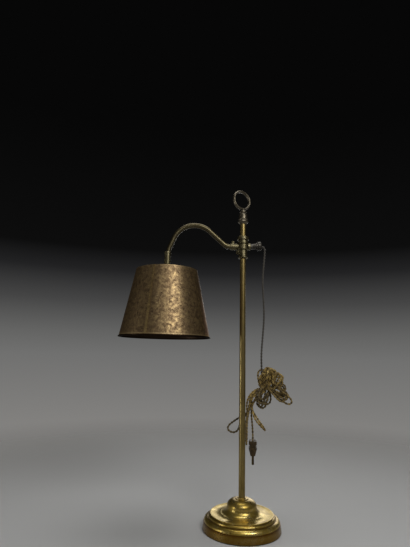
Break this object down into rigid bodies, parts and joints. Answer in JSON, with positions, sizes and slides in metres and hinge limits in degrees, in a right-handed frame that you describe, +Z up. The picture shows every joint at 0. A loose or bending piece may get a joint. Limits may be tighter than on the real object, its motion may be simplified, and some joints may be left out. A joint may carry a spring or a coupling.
{
  "type": "desk lamp",
  "caption": "Rise-and-fall brass desk lamp: a weighted base and stem carry a sliding, swivelling swan-neck arm with a conical shade and a hanked cloth flex.",
  "frame": {"origin": "on the stem's axis, on the table under the base's felt", "axes": "+Z up along the stem, -X along the arm towards the shade, +X along the flex outlet"},
  "size_m": [0.3672, 0.1932, 0.7031],
  "materials": {
    "polished_brass": "polished, lightly tarnished",
    "aged_brass": "aged satin",
    "dull_brass": "dull, greyish",
    "bronzed_brass": "mottled bronze patina",
    "holder_brass": "satin",
    "steel": "zinc grey",
    "cast_iron": "rough cast",
    "felt": "matt felt",
    "porcelain": "glazed",
    "phenolic": "moulded, semi-gloss",
    "pin_brass": "turned",
    "cloth_flex": "braided cotton",
    "clear_glass": "clear"
  },
  "bodies": {
    "stand": {"base_shell": "polished_brass", "base_felt": "felt", "base_weight": "cast_iron", "stem_washer": "steel", "stem_nut": "steel", "stem": "aged_brass", "foot_collar": "polished_brass", "finial": "dull_brass", "carrying_ring": "dull_brass"},
    "collar": {"lock_collar": "aged_brass"},
    "thumbscrew": {"thumbscrew": "aged_brass"},
    "arm": {"arm_boss": "aged_brass", "swan_arm": "aged_brass", "outlet_tube": "aged_brass", "outlet_nozzle": "aged_brass", "inner_flex": "cloth_flex", "arm_ferrule": "aged_brass", "clamp_nut": "aged_brass", "shade_cone": "bronzed_brass", "shade_top_plate": "bronzed_brass", "shade_rim_wire": "bronzed_brass", "shade_seam": "bronzed_brass", "holder_cap": "holder_brass", "holder_shell": "holder_brass", "holder_insert": "porcelain", "screw_shell": "holder_brass", "centre_contact": "holder_brass", "terminal_screws": "holder_brass", "bulb_cap": "holder_brass", "bulb_glass": "clear_glass", "cord_drop": "cloth_flex", "cord_left_loop": "cloth_flex", "cord_bight": "cloth_flex", "cord_fold": "cloth_flex", "cord_tail": "cloth_flex", "cord_hank": "cloth_flex", "plug_cap": "phenolic", "plug_base": "phenolic", "plug_pins": "pin_brass", "plug_screw": "pin_brass"},
    "arm_screw": {"arm_screw": "aged_brass"},
    "switch": {"switch_spindle": "holder_brass", "switch_key": "phenolic"}
  },
  "joints": [
    {"name": "collar_slide", "type": "slide", "parent": "stand", "child": "collar", "axis": [0, 0, 1], "range_m": [-0.065, 0.029]},
    {"name": "arm_swivel", "type": "hinge", "parent": "collar", "child": "arm", "pos_m": [0, 0, 0.5705], "axis": [0, 0, 1], "continuous": true},
    {"name": "thumbscrew_turn", "type": "hinge", "parent": "collar", "child": "thumbscrew", "pos_m": [0, 0, 0.5559], "axis": [-0.7431, -0.6691, 0], "range_deg": [-45, 360]},
    {"name": "arm_screw_turn", "type": "hinge", "parent": "arm", "child": "arm_screw", "pos_m": [-0.0227, 0, 0.5705], "axis": [0, 0, 1], "range_deg": [-30, 360]},
    {"name": "switch_turn", "type": "hinge", "parent": "arm", "child": "switch", "pos_m": [-0.1655, 0, 0.4799], "axis": [0, -1, 0], "continuous": true}
  ]
}
